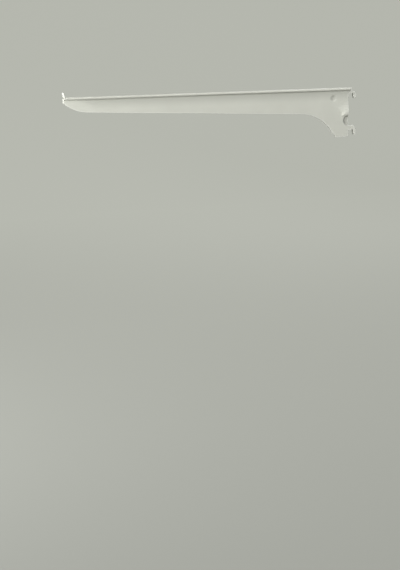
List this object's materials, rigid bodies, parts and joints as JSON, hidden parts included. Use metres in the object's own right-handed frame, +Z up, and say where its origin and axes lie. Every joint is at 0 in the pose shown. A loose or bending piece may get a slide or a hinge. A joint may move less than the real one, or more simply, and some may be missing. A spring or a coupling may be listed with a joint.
{
  "type": "shelf bracket",
  "caption": "Folded steel cantilever shelf bracket with a hemmed rail, a stop lip at the tip and hooks for a slotted wall upright.",
  "frame": {"origin": "on the front face of the wall upright, mid-width, level with the top of the shelf rail", "axes": "+X out from the wall towards the tip, +Y across the bracket, +Z up"},
  "size_m": [0.406, 0.0116, 0.0728],
  "materials": {
    "powder_coat": "white powder coat, satin, very fine texture"
  },
  "bodies": {
    "root": {"bracket": "powder_coat"}
  },
  "joints": []
}
